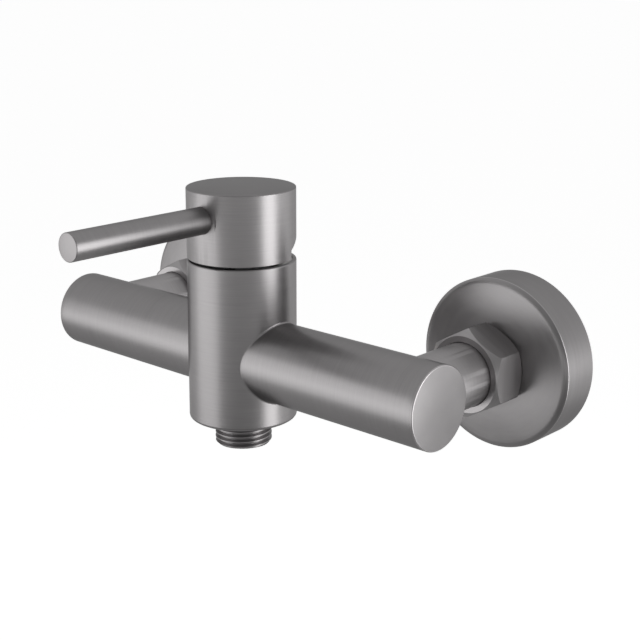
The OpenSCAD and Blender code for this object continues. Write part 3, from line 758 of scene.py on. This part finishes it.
class MIXER_OT_handle_cap(bpy.types.Operator):
    """Makes the handle cap: hollow shell with a sloping cut at its rear, boss, cross rib and holes"""

    bl_idname = "mixer.handle_cap"
    bl_label = "Handle cap"

    def execute(self, context):
        s = sizes()
        radius = s.body_radius
        upright, cross = (0, BODY_Y, 0), (0, BODY_Y, LEVER_Z)
        boss = rod(STEM_BOSS, CAP_LOW + STEM_BOSS_START, CAP_HIGH - ROOF_SKIN)
        rib = rod(s.lever_radius + RIB_WALL, -radius + RIB_SHORT, radius - RIB_SHORT)
        stem_hole = block(STEM_WIDTH, STEM_WIDTH, CAP_LOW, place("stem", HIGH, Z) + STEM_SLACK)
        lever_hole = rod(s.lever_radius + LEVER_SLACK, radius - LEVER_SEAT_DEPTH, PAST_CAP)
        cap = carved(
            self.shell(),
            ("UNION", laid(boss, "Z", upright)),
            ("UNION", laid(rib, "Y", cross)),
            ("DIFFERENCE", self.rear_cut()),
            ("DIFFERENCE", laid(stem_hole, "Z", upright)),
            ("DIFFERENCE", laid(rod(TAIL_HOLE, 0, PAST_CAP, 64), "-Y", cross)),
            ("DIFFERENCE", laid(lever_hole, "-Y", cross)),
            ("DIFFERENCE", laid(rod(SCREW_HOLE, 0, PAST_CAP, 48), "Y", cross)))
        soften(cap, edges_near(cap, self.on_cut), 0.2 * MM)
        soften(cap, edges_near(cap, self.on_lever_mouth), 0.15 * MM)
        finished("cap", cap, "handle", [gun_metal("Z")], replaces=["handle_cap"],
                 bars=[(Vector(upright), UP, radius)])
        return {"FINISHED"}

    @staticmethod
    def shell():
        """The plain round cap, hollow from below."""
        s = sizes()
        inside, roof = s.body_radius - CAP_WALL, CAP_HIGH - CAP_ROOF
        shell = turned([
            (0, CAP_HIGH), (s.body_radius, CAP_HIGH, s.cap_round), (s.body_radius, CAP_LOW, 0.15 * MM),
            (s.body_radius - CAP_LIP, CAP_LOW), (inside, CAP_LOW + CAP_MOUTH), (inside, roof, 0.6 * MM),
            (0, roof)], s.sides)
        return laid(shell, "Z", (0, BODY_Y, 0))

    @staticmethod
    def cut_line():
        """Where the rear cut starts, how high its step is, and its slope as a ratio."""
        s = sizes()
        return BODY_Y + s.cap_cut_start, CAP_LOW + s.cap_cut_step, math.tan(s.cap_cut_slope)

    def rear_cut(self):
        """The wedge that is cut from the cap's rear, so that it can tip back."""
        start, step_top, slope = self.cut_line()
        far = 2 * sizes().body_radius
        section = bmesh.new()
        corners = [(start, CAP_LOW - far), (start + far, CAP_LOW - far),
                   (start + far, step_top + far * slope), (start, step_top)]
        section.faces.new([section.verts.new((-far, y, z)) for y, z in corners])
        swept = bmesh.ops.extrude_face_region(section, geom=section.faces[:])["geom"]
        moved = [v for v in swept if isinstance(v, bmesh.types.BMVert)]
        bmesh.ops.translate(section, vec=(2 * far, 0, 0), verts=moved)
        bmesh.ops.recalc_face_normals(section, faces=section.faces)
        return section

    def on_cut(self, co):
        """Whether a point lies on the outer rim of the rear cut."""
        start, step_top, slope = self.cut_line()
        on_step = abs(co.y - start) < LEVEL
        on_slope = abs(co.z - step_top - (co.y - start) * slope) < LEVEL
        outside = math.hypot(co.x, co.y - BODY_Y) > sizes().body_radius - SKIN
        return outside and co.y > start - LEVEL and (on_step or on_slope)

    @staticmethod
    def on_lever_mouth(co):
        """Whether a point lies on the rim of the lever's hole."""
        s = sizes()
        on_side = abs(math.hypot(co.x, co.y - BODY_Y) - s.body_radius) < LEVEL
        out = math.hypot(co.x, co.z - LEVER_Z) - s.lever_radius - LEVER_SLACK
        return co.y < BODY_Y and on_side and abs(out) < 0.01 * MM


LEVER_SEAT, TAIL_RADIUS = 4.9 * MM, 4 * MM


class MIXER_OT_lever(bpy.types.Operator):
    """Makes the lever: a plain rod with a rounded tip and a screwed tail"""

    bl_idname = "mixer.lever"
    bl_label = "Lever"

    def execute(self, context):
        s = sizes()
        tail, tip = BODY_Y - TAIL_END, BODY_Y - LEVER_TIP
        seat = s.body_radius - LEVER_SEAT
        lever = turned([
            (0, tail), (TAIL_RADIUS, tail, 0.4 * MM), (TAIL_RADIUS, seat), (s.lever_radius, seat, 0.3 * MM),
            (s.lever_radius, tip, 0.35 * MM), (0, tip)], 128)
        laid(lever, "-Y", (0, BODY_Y, LEVER_Z))
        finished("lever", lever, "handle", [lever_metal()], replaces=["lever_pin"])
        return {"FINISHED"}


UNION_HOLE, COLLAR_SEAT = 12.6 * MM, 2.9 * MM
NUT_FACE_INSET = 0.4 * MM


class MIXER_OT_union_nuts(bpy.types.Operator):
    """Makes the two union nuts: hexagon with its corners bevelled at both ends"""

    bl_idname = "mixer.union_nuts"
    bl_label = "Union nuts"

    def execute(self, context):
        s = sizes()
        flat = span("union_nut_right", X) / 2
        length = NUT_BACK - NUT_FRONT
        past = length + 1 * MM

        def at_mouth(co):
            return co.z < 1e-6 and math.hypot(co.x, co.y) < s.boss_radius + 0.2 * MM

        def on_corner(co):
            return math.hypot(co.x, co.y) > flat + 0.3 * MM and 0.5 * MM < co.z < length - 0.5 * MM

        for side, word in SIDES:
            nut = carved(self.hexagon(flat, length), ("INTERSECT", self.bevelled_form(flat, length)),
                         ("DIFFERENCE", rod(s.boss_radius + 0.05 * MM, -1 * MM, past)),
                         ("DIFFERENCE", rod(UNION_HOLE, COLLAR_SEAT, past)))
            soften(nut, edges_near(nut, at_mouth), 0.2 * MM)
            corners = [edge for edge in edges_near(nut, on_corner)
                       if abs(edge.verts[0].co.z - edge.verts[1].co.z) > 2 * MM]
            soften(nut, corners, 0.45 * MM, 3)
            laid(nut, "Y", (side * INLET_X, NUT_FRONT, ARM_Z))
            finished("nut_" + word, nut, "nut_" + word, [nut_metal()],
                     replaces=["union_nut_" + word], sharp=20)
        return {"FINISHED"}

    @staticmethod
    def hexagon(flat, length):
        """The plain hexagon bar, with one corner up."""
        across_corners = flat / math.cos(math.pi / 6)
        bm = bmesh.new()
        bmesh.ops.create_cone(bm, cap_ends=True, segments=6, radius1=across_corners,
                              radius2=across_corners, depth=length)
        bmesh.ops.translate(bm, vec=(0, 0, length / 2), verts=bm.verts)
        if min(abs(vert.co.x) for vert in bm.verts) > 1e-6:
            bmesh.ops.rotate(bm, cent=(0, 0, 0), matrix=Matrix.Rotation(math.pi / 6, 3, "Z"), verts=bm.verts)
        return bm

    @staticmethod
    def bevelled_form(flat, length):
        """The turned form that takes the corners off a hexagon."""
        s = sizes()
        face = flat - NUT_FACE_INSET
        swell = face + s.nut_bevel / math.tan(s.nut_slope)
        return turned([(0, 0), (face, 0), (swell, s.nut_bevel), (swell, length - s.nut_bevel),
                       (face, length), (0, length)], 160)


DOME_STEPS, EDGE_STEPS = 12, 10


class MIXER_OT_escutcheons(bpy.types.Operator):
    """Makes the two escutcheons: domed sheet with a soft edge on a deep straight rim"""

    bl_idname = "mixer.escutcheons"
    bl_label = "Escutcheons"

    def execute(self, context):
        s = sizes()
        face = -place("escutcheon_right", LOW, Y) + self.sag(UNION_HOLE)
        for side, word in SIDES:
            outer = self.profile(face, 0, UNION_HOLE)
            inner = self.profile(face, s.plate_wall, UNION_HOLE)
            outer[0] = (*outer[0], 0.35 * MM)
            plate = turned(outer + inner[::-1], s.sides, closed=True)
            laid(plate, "-Y", (side * INLET_X, 0, ARM_Z))
            radius, height, rounding = outer[-2]

            # Faces on the rounding between face and rim get the painted highlight
            def on_corner(centre, middle=side * INLET_X):
                out = math.hypot(centre.x - middle, centre.z - ARM_Z)
                return int(math.hypot(out - radius, -centre.y - height) < 1.05 * rounding)

            finished("escutcheon_cover_" + word, plate, "fixture",
                     [gun_metal("Y"), painted_highlight_edge("Y")], replaces=["escutcheon_" + word], paint=on_corner)
        return {"FINISHED"}

    @staticmethod
    def sag(radius):
        """Drop of the dome at a radius."""
        dome = sizes().dome_radius
        return dome - math.sqrt(dome ** 2 - radius ** 2)

    def profile(self, face, inset, hole):
        """Rows from the hole over the dome and round the edge to the wall, set in by a thickness."""
        s = sizes()
        dome, soft = s.dome_radius - inset, s.plate_round - inset
        between = s.dome_radius - s.plate_round
        turn_at = s.plate_radius - s.plate_round * math.sin(s.plate_slope)
        dome_centre = face - s.dome_radius
        turn_height = dome_centre + math.sqrt(between ** 2 - turn_at ** 2)
        first = math.asin(hole / dome)
        touch = math.asin(turn_at / between)
        last = math.asin((s.plate_radius - inset - turn_at) / soft)
        rows = []
        for i in range(DOME_STEPS):
            angle = first + (touch - first) * i / DOME_STEPS
            rows.append((dome * math.sin(angle), dome_centre + dome * math.cos(angle)))
        for i in range(EDGE_STEPS + 1):
            angle = touch + (last - touch) * i / EDGE_STEPS
            rows.append((turn_at + soft * math.sin(angle), turn_height + soft * math.cos(angle)))
        if not inset:
            rows[-1] = (*rows[-1], 0.12 * MM)
        rows.append((s.plate_radius - inset, 0))
        return rows


PIPE_RADIUS, PIPE_COLLAR, UNION_COLLAR = 10.4775 * MM, 12.4775 * MM, 14.5 * MM
PIPE_THREAD = -16.5 * MM, 4.6 * MM


class MIXER_OT_wall_unions(bpy.types.Operator):
    """Cuts the pipe thread into the two eccentric wall unions"""

    bl_idname = "mixer.wall_unions"
    bl_label = "Wall unions"

    def execute(self, context):
        s = sizes()
        for side, word in SIDES:
            node = "wall_union_" + word
            groove = thread_groove(PIPE_RADIUS, s.thread_depth, s.thread_pitch, *PIPE_THREAD)
            laid(groove, "-Y", (side * INLET_X, 0, 0))
            union = carved(node_copy(node), ("DIFFERENCE", groove))
            bars = [(Vector((side * INLET_X, 0, ARM_Z)), TO_WALL, UNION_COLLAR),
                    (Vector((side * INLET_X, 0, 0)), TO_WALL, PIPE_COLLAR)]
            finished("wall_fitting_" + word, union, "fixture", [brass()], replaces=[node],
                     bars=bars, flat_ends=True)
        return {"FINISHED"}


# The hose nipple: radii of its spigot, O-ring groove, channel and valve seat, and heights off the foot
OUTLET_SPIGOT, RING_GROOVE = 8.5 * MM, 6.6 * MM
RING_TOP, RING_BOTTOM = FOOT_Z + 3.3 * MM, FOOT_Z + 1.2 * MM
CHANNEL, VALVE_SEAT, VALVE_TOP = 5.25 * MM, 7.05 * MM, FOOT_Z + 0.2 * MM
UNDERCUT, UNDERCUT_END, THREAD_TOP = 1.2 * MM, FOOT_Z - 1.6 * MM, FOOT_Z - 2.1 * MM


class MIXER_OT_hose_outlet(bpy.types.Operator):
    bl_idname = "mixer.hose_outlet"
    bl_label = "Hose outlet"

    def execute(self, context):
        s = sizes()
        crest = span("hose_outlet", X) / 2
        root = crest - UNDERCUT
        outlet = turned([
            (CHANNEL, SPIGOT_TOP), (OUTLET_SPIGOT, SPIGOT_TOP, 0.3 * MM), (OUTLET_SPIGOT, RING_TOP),
            (RING_GROOVE, RING_TOP), (RING_GROOVE, RING_BOTTOM), (OUTLET_SPIGOT, RING_BOTTOM),
            (OUTLET_SPIGOT, FOOT_Z), (root, FOOT_Z), (root, UNDERCUT_END), (crest - 0.5 * MM, UNDERCUT_END),
            (crest, THREAD_TOP), (crest, HOSE_END + 0.8 * MM), (crest - 0.8 * MM, HOSE_END),
            (VALVE_SEAT, HOSE_END, 0.3 * MM), (VALVE_SEAT, VALVE_TOP), (CHANNEL, VALVE_TOP)],
            128, closed=True)
        groove = thread_groove(crest, s.thread_depth, s.thread_pitch, HOSE_END - 1.6 * MM,
                               FOOT_Z - 0.9 * MM, 64)
        outlet = carved(outlet, ("DIFFERENCE", groove))
        laid(outlet, "Z", (0, BODY_Y, 0))
        finished("outlet_nipple", outlet, "fixture", [gun_metal("Z")],
                 replaces=["hose_outlet"])
        return {"FINISHED"}


class MIXER_OT_inner_parts(bpy.types.Operator):
    """Gives the carried-over CAD parts their materials"""

    bl_idname = "mixer.inner_parts"
    bl_label = "Inner parts"

    def execute(self, context):
        finishes = {
            brass(): ["inlet_nipple_left", "inlet_nipple_right"],
            # The clamp nut's dark plate is painted shade for the gap under the cap
            plated_brass(): ["clamp_nut"],
            black_rubber(): ["union_washer_left", "union_washer_right", "outlet_o_ring",
                             "seal_hot", "seal_cold", "seal_mixed"],
            bare_steel(): ["strainer_left", "strainer_right", "valve_spring", "stem", "stem_pin"],
            dark_steel(): ["grub_screw"],
            plastic("white_plastic", (0.78, 0.78, 0.74)): ["valve_housing", "valve_poppet",
                                                           "cartridge_housing", "cartridge_base"],
            plastic("grey_plastic", (0.33, 0.34, 0.35)): ["drive_plate", "hot_limit_ring"],
            plastic("blue_plastic", (0.10, 0.19, 0.34)): ["rotor"],
            ceramic(): ["fixed_disc", "moving_disc"],
        }
        for material, nodes in finishes.items():
            for node in nodes:
                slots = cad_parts[node].material_slots
                if not slots:
                    raise RuntimeError("no material slot on " + node)
                for slot in slots:
                    slot.material = material
        return {"FINISHED"}


# The lamps: directions and roll in degrees, sizes in metres, brightness as it shows in a mirror
LAMPS = {
    "lamp_left_front": dict(azimuth=-31, height=-5, roll=-14, distance=0.62, width=0.64, tall=0.58,
                            brightness=0.92),
    "lamp_right": dict(azimuth=106, height=-2, roll=0, distance=0.75, width=0.42, tall=0.72, brightness=2.5),
    "lamp_right_rear": dict(azimuth=142, height=-12, roll=0, distance=0.75, width=0.45, tall=0.50,
                            brightness=0.28),
}
FLOOR_SIZE, FLOOR_SHADE, FLOOR_GLOW = 12, 0.85, 0.6
CARD_RADIUS, CARD_OUT, CARD_LIFT = 1.7, 0.75, 0.01
CARD_DARK, CARD_LIGHT, CARD_FADE_START = 0.22, 0.56, 0.4
# Brightness of the surroundings in reflections, by height from straight down to straight up
SURROUNDINGS = ((0.40, 0.54), (0.60, 0.67), (0.85, 0.64))
BELOW, ABOVE, AMBIENT = 0.45, 0.62, 0.45
SHADED_TOWARDS, SHADE_DEPTH = (0.72, -0.69, 0), 0.62


class MIXER_OT_studio(bpy.types.Operator):
    """Makes the camera, the pale floor, the soft lamps and the background"""

    bl_idname = "mixer.studio"
    bl_label = "Studio"

    def execute(self, context):
        self.camera(context)
        self.floor(context)
        self.world(context)
        for name, lamp in LAMPS.items():
            self.softbox(context, name, **lamp)
        context.scene.view_settings.view_transform = "Standard"
        return {"FINISHED"}

    @staticmethod
    def direction(azimuth, height):
        """Unit vector towards an azimuth from the front and a height, in radians."""
        return Vector((math.sin(azimuth) * math.cos(height), -math.cos(azimuth) * math.cos(height),
                       math.sin(height)))

    def camera(self, context):
        """The camera, turned and shifted as the photograph's."""
        studio = context.scene.mixer_studio
        data = bpy.data.cameras.new("camera")
        data.sensor_width = 36
        data.lens = studio.camera_lens
        data.shift_y = studio.camera_shift
        data.clip_start = 0.01
        camera = bpy.data.objects.new("camera", data)
        context.scene.collection.objects.link(camera)
        back = self.direction(studio.camera_azimuth + studio.camera_yaw, studio.camera_pitch)
        right = UP.cross(back).normalized()
        turn = Matrix((right, back.cross(right), back)).transposed().to_4x4()
        towards = self.direction(studio.camera_azimuth, studio.camera_height)
        camera.matrix_world = Matrix.Translation(ARM_CENTRE + studio.camera_distance * towards) @ turn
        context.scene.camera = camera

    def softbox(self, context, name, azimuth, height, roll, distance, width, tall, brightness):
        """A square-edged soft lamp that faces the body."""
        data = bpy.data.lights.new(name, "AREA")
        data.shape = "RECTANGLE"
        data.size = width
        data.size_y = tall
        data.energy = brightness * math.pi * width * tall
        lamp = bpy.data.objects.new(name, data)
        context.scene.collection.objects.link(lamp)
        lamp.visible_camera = False
        out = self.direction(math.radians(azimuth), math.radians(height))
        turn = out.to_track_quat("Z", "Y").to_matrix().to_4x4()
        lamp.matrix_world = (Matrix.Translation(ARM_CENTRE + distance * out) @ turn
                             @ Matrix.Rotation(math.radians(roll), 4, "Z"))

    def floor(self, context):
        """The pale floor, and a dark card above it that only reflections see."""
        level = ARM_Z - context.scene.mixer_studio.floor_drop
        bm = bmesh.new()
        bmesh.ops.create_grid(bm, x_segments=1, y_segments=1, size=FLOOR_SIZE)
        floor = working_object(bm, "floor")
        floor.location = (0, 0, level)
        floor.data.materials.append(self.floor_material())
        bm = bmesh.new()
        bmesh.ops.create_circle(bm, cap_ends=True, segments=96, radius=CARD_RADIUS)
        card = working_object(bm, "dark_card")
        card.location = Vector((0, BODY_Y, level + CARD_LIFT)) + CARD_OUT * self.direction(math.pi / 4, 0)
        card.visible_camera = card.visible_diffuse = card.visible_shadow = card.visible_transmission = False
        card.data.materials.append(self.card_material())

    def floor_material(self):
        """Pale and matt, lifted to white for the rays that see the background."""
        material, tree = blank_material("pale_floor")
        nodes, links = tree.nodes, tree.links
        diffuse = nodes.new("ShaderNodeBsdfDiffuse")
        diffuse.inputs["Color"].default_value = grey(FLOOR_SHADE)
        glow = nodes.new("ShaderNodeEmission")
        links.new(value_math(tree, "MULTIPLY", self.seen_rays(tree), FLOOR_GLOW), glow.inputs["Strength"])
        both = nodes.new("ShaderNodeAddShader")
        output = nodes.new("ShaderNodeOutputMaterial")
        links.new(diffuse.outputs[0], both.inputs[0])
        links.new(glow.outputs[0], both.inputs[1])
        links.new(both.outputs[0], output.inputs["Surface"])
        return material

    @staticmethod
    def card_material():
        """Dark in the middle and lighter towards its edge, so that reflections of it fade out."""
        material, tree = blank_material("dark_card")
        nodes, links = tree.nodes, tree.links
        where = nodes.new("ShaderNodeTexCoord")
        length = nodes.new("ShaderNodeVectorMath")
        length.operation = "LENGTH"
        links.new(where.outputs["Object"], length.inputs[0])
        ramp = nodes.new("ShaderNodeValToRGB")
        dark, light = ramp.color_ramp.elements
        dark.position, dark.color = CARD_FADE_START, grey(CARD_DARK)
        light.position, light.color = 1.0, grey(CARD_LIGHT)
        links.new(length.outputs["Value"], ramp.inputs[0])
        glow = nodes.new("ShaderNodeEmission")
        links.new(ramp.outputs[0], glow.inputs["Color"])
        output = nodes.new("ShaderNodeOutputMaterial")
        links.new(glow.outputs[0], output.inputs["Surface"])
        return material

    @staticmethod
    def seen_rays(tree):
        """One for rays that see the background: from the camera, in a reflection or through glass."""
        path = tree.nodes.new("ShaderNodeLightPath")
        seen = value_math(tree, "MAXIMUM", path.outputs["Is Camera Ray"], path.outputs["Is Glossy Ray"])
        return value_math(tree, "MAXIMUM", seen, path.outputs["Is Transmission Ray"])

    @staticmethod
    def reflected_surroundings(tree):
        """What reflections see: brightness by height, lower on the side from which the mixer is seen."""
        links = tree.links
        where = tree.nodes.new("ShaderNodeTexCoord").outputs["Generated"]
        split = tree.nodes.new("ShaderNodeSeparateXYZ")
        links.new(where, split.inputs[0])
        height = value_math(tree, "MULTIPLY", value_math(tree, "ADD", split.outputs["Z"], 1.0), 0.5)
        ramp = tree.nodes.new("ShaderNodeValToRGB")
        stops = ramp.color_ramp.elements
        for position, level in SURROUNDINGS:
            stops.new(position).color = grey(level)
        stops[0].color = grey(BELOW)
        stops[-1].color = grey(ABOVE)
        links.new(height, ramp.inputs[0])
        facing = tree.nodes.new("ShaderNodeVectorMath")
        facing.operation = "DOT_PRODUCT"
        facing.inputs[1].default_value = SHADED_TOWARDS
        links.new(where, facing.inputs[0])
        towards = value_math(tree, "MAXIMUM", facing.outputs["Value"], 0.0)
        level = value_math(tree, "SUBTRACT", 1.0, value_math(tree, "MULTIPLY", towards, SHADE_DEPTH))
        shaded = tree.nodes.new("ShaderNodeVectorMath")
        shaded.operation = "SCALE"
        links.new(ramp.outputs[0], shaded.inputs[0])
        links.new(level, shaded.inputs["Scale"])
        return shaded.outputs[0]

    def world(self, context):
        """White for the rays that see straight through, its own shades for reflections, grey for light."""
        world = bpy.data.worlds.new("studio")
        context.scene.world = world
        world.use_nodes = True
        tree = world.node_tree
        tree.nodes.clear()
        links = tree.links
        path = tree.nodes.new("ShaderNodeLightPath")
        straight = value_math(tree, "MAXIMUM", path.outputs["Is Camera Ray"],
                              path.outputs["Is Transmission Ray"])
        mirrored = tree.nodes.new("ShaderNodeMix")
        mirrored.data_type = "RGBA"
        mirrored.inputs["A"].default_value = grey(AMBIENT)
        links.new(path.outputs["Is Glossy Ray"], mirrored.inputs["Factor"])
        links.new(self.reflected_surroundings(tree), mirrored.inputs["B"])
        seen = tree.nodes.new("ShaderNodeMix")
        seen.data_type = "RGBA"
        seen.inputs["B"].default_value = grey(1)
        links.new(straight, seen.inputs["Factor"])
        links.new(mirrored.outputs["Result"], seen.inputs["A"])
        background = tree.nodes.new("ShaderNodeBackground")
        links.new(seen.outputs["Result"], background.inputs["Color"])
        output = tree.nodes.new("ShaderNodeOutputWorld")
        links.new(background.outputs[0], output.inputs["Surface"])


OPERATORS = (MIXER_OT_studio, MIXER_OT_body, MIXER_OT_end_caps, MIXER_OT_handle_cap, MIXER_OT_lever,
             MIXER_OT_union_nuts, MIXER_OT_escutcheons, MIXER_OT_wall_unions, MIXER_OT_hose_outlet,
             MIXER_OT_inner_parts)


class MIXER_PT_panel(bpy.types.Panel):
    """Lists the mixer's pieces, sizes and finishes"""

    bl_idname = "MIXER_PT_panel"
    bl_label = "Shower mixer"
    bl_space_type = "VIEW_3D"
    bl_region_type = "UI"
    bl_category = "Mixer"

    def draw(self, context):
        for operator in OPERATORS:
            self.layout.operator(operator.bl_idname)
        for group in (context.scene.mixer_sizes, context.scene.mixer_finish, context.scene.mixer_studio):
            column = self.layout.column(align=True)
            for name in group.bl_rna.properties.keys():
                if name not in ("rna_type", "name"):
                    column.prop(group, name)


CLASSES = (MixerSizes, MixerFinish, MixerStudio, *OPERATORS, MIXER_PT_panel)


def register():
    for cls in CLASSES:
        bpy.utils.register_class(cls)
    bpy.types.Scene.mixer_sizes = PointerProperty(type=MixerSizes)
    bpy.types.Scene.mixer_finish = PointerProperty(type=MixerFinish)
    bpy.types.Scene.mixer_studio = PointerProperty(type=MixerStudio)


def unregister():
    del bpy.types.Scene.mixer_studio
    del bpy.types.Scene.mixer_finish
    del bpy.types.Scene.mixer_sizes
    for cls in reversed(CLASSES):
        bpy.utils.unregister_class(cls)


def main():
    register()
    bpy.ops.mixer.studio()
    bpy.ops.mixer.body()
    bpy.ops.mixer.end_caps()
    bpy.ops.mixer.handle_cap()
    bpy.ops.mixer.lever()
    bpy.ops.mixer.union_nuts()
    bpy.ops.mixer.escutcheons()
    bpy.ops.mixer.wall_unions()
    bpy.ops.mixer.hose_outlet()
    bpy.ops.mixer.inner_parts()


if __name__ == "__main__":
    main()
